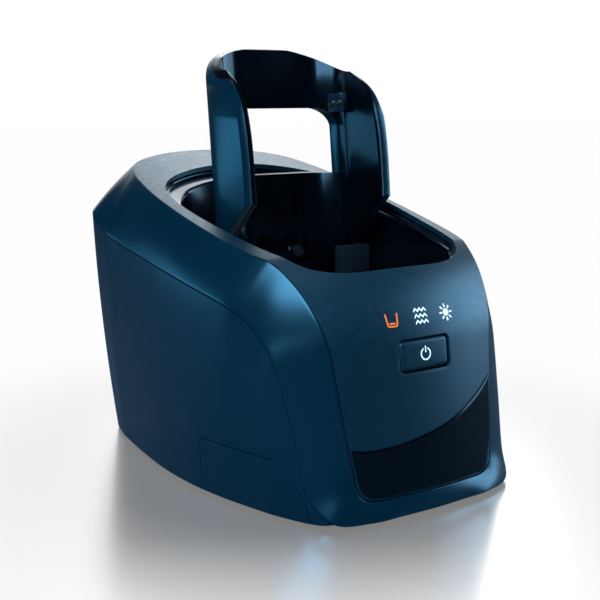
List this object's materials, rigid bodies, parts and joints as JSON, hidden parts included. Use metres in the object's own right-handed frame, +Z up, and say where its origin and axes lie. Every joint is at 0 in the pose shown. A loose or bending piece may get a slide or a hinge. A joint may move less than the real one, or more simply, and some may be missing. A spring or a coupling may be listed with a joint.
{
  "type": "shaver cleaning station",
  "caption": "Cleaning and charging station for an electric shaver: a rounded gloss housing with a basin, a tall motor-lowered holder arch, front symbols and a lift-off fluid chamber.",
  "frame": {"origin": "middle of the bottom of the object, where its feet stand on the table", "axes": "+Z up, front faces -Y, +X is the right-hand side as seen from the front"},
  "size_m": [0.1382, 0.194, 0.183],
  "materials": {
    "gloss_navy": "high-gloss dark navy moulded plastic",
    "satin_navy": "dark navy moulded plastic, satin on the front",
    "gloss_black": "high-gloss black-blue plastic",
    "base_plastic": "fine matte moulded plastic",
    "chamber_plastic": "translucent-looking light grey moulded plastic",
    "rubber_pad": "soft matte rubber",
    "copper_wire": "enamelled copper wire",
    "steel": "drawn or stamped steel",
    "circuit_board": "green solder resist",
    "chip_black": "matte black component bodies",
    "led_white": "small diffusing lamp bodies",
    "icon_orange": "lit orange light window",
    "icon_white": "lit pale blue-white light window",
    "contact_plastic": "dark gloss contact carrier with bright edges",
    "brass_contact": "gold-plated or machined brass",
    "bush_plastic": "self-lubricating bearing plastic",
    "gear_plastic": "natural acetal"
  },
  "bodies": {
    "chamber": {"cleaning_chamber": "chamber_plastic", "chamber_base": "base_plastic", "rubber_feet": "rubber_pad"},
    "housing": {"outer_frame": "gloss_navy", "top_cover": "satin_navy", "front_gloss_inlay": "gloss_black", "side_panel_left": "gloss_navy", "side_panel_right": "gloss_navy", "rear_cover": "gloss_navy", "basin_liner": "gloss_black", "sump_gasket": "rubber_pad", "drying_coil": "copper_wire", "housing_floor": "base_plastic", "lift_chassis": "base_plastic", "chassis_screws": "steel", "guide_rods": "steel", "lift_motor": "steel", "gear_axle": "steel", "limit_switches": "base_plastic", "control_board": "circuit_board", "board_chips": "chip_black", "display_board": "circuit_board", "indicator_leds": "led_white", "tactile_switch": "steel", "refill_icon_lens": "icon_orange", "rinse_icon_lens": "icon_white", "drying_icon_lens": "icon_white", "power_inlet": "base_plastic", "inlet_pins": "steel", "latch_guides": "base_plastic", "release_spring_left": "steel", "release_spring_right": "steel"},
    "holder": {"holder_arch": "gloss_navy", "holder_inner_trim": "gloss_black", "contact_block": "contact_plastic", "contact_pins": "brass_contact", "lift_carriage": "base_plastic", "carriage_bushings": "bush_plastic", "lift_rack": "gear_plastic", "carriage_screws": "steel"},
    "drive_gear": {"drive_gear": "gear_plastic"},
    "motor_pinion": {"motor_pinion": "brass_contact"},
    "power_button": {"power_button": "satin_navy", "power_symbol_lens": "icon_white"},
    "release_left": {"release_button_left": "gloss_navy"},
    "release_right": {"release_button_right": "gloss_navy"}
  },
  "joints": [
    {"name": "housing_lift_off", "type": "slide", "parent": "chamber", "child": "housing", "axis": [0, 0, 1], "range_m": [0, 0.08]},
    {"name": "holder_lift", "type": "slide", "parent": "housing", "child": "holder", "axis": [0, 0, 1], "range_m": [-0.025, 0]},
    {"name": "drive_gear_spin", "type": "hinge", "parent": "housing", "child": "drive_gear", "pos_m": [0, 0.0787, 0.078], "axis": [1, 0, 0], "range_deg": [0, 180]},
    {"name": "motor_pinion_spin", "type": "hinge", "parent": "housing", "child": "motor_pinion", "pos_m": [0.007, 0.0787, 0.0636], "axis": [1, 0, 0], "range_deg": [-359, 0]},
    {"name": "power_press", "type": "slide", "parent": "housing", "child": "power_button", "axis": [0, 0.9907, -0.1357], "range_m": [0, 0.0008], "stiffness_N_per_m": 1500},
    {"name": "release_left_press", "type": "slide", "parent": "housing", "child": "release_left", "axis": [1, 0, 0], "range_m": [0, 0.002], "stiffness_N_per_m": 600, "deforming": ["release_spring_left"]},
    {"name": "release_right_press", "type": "slide", "parent": "housing", "child": "release_right", "axis": [-1, 0, 0], "range_m": [0, 0.002], "stiffness_N_per_m": 600, "deforming": ["release_spring_right"]}
  ],
  "couplings": [
    {"joint": "drive_gear_spin", "follows": "holder_lift", "rad_per_m": -125},
    {"joint": "motor_pinion_spin", "follows": "holder_lift", "rad_per_m": 250}
  ]
}
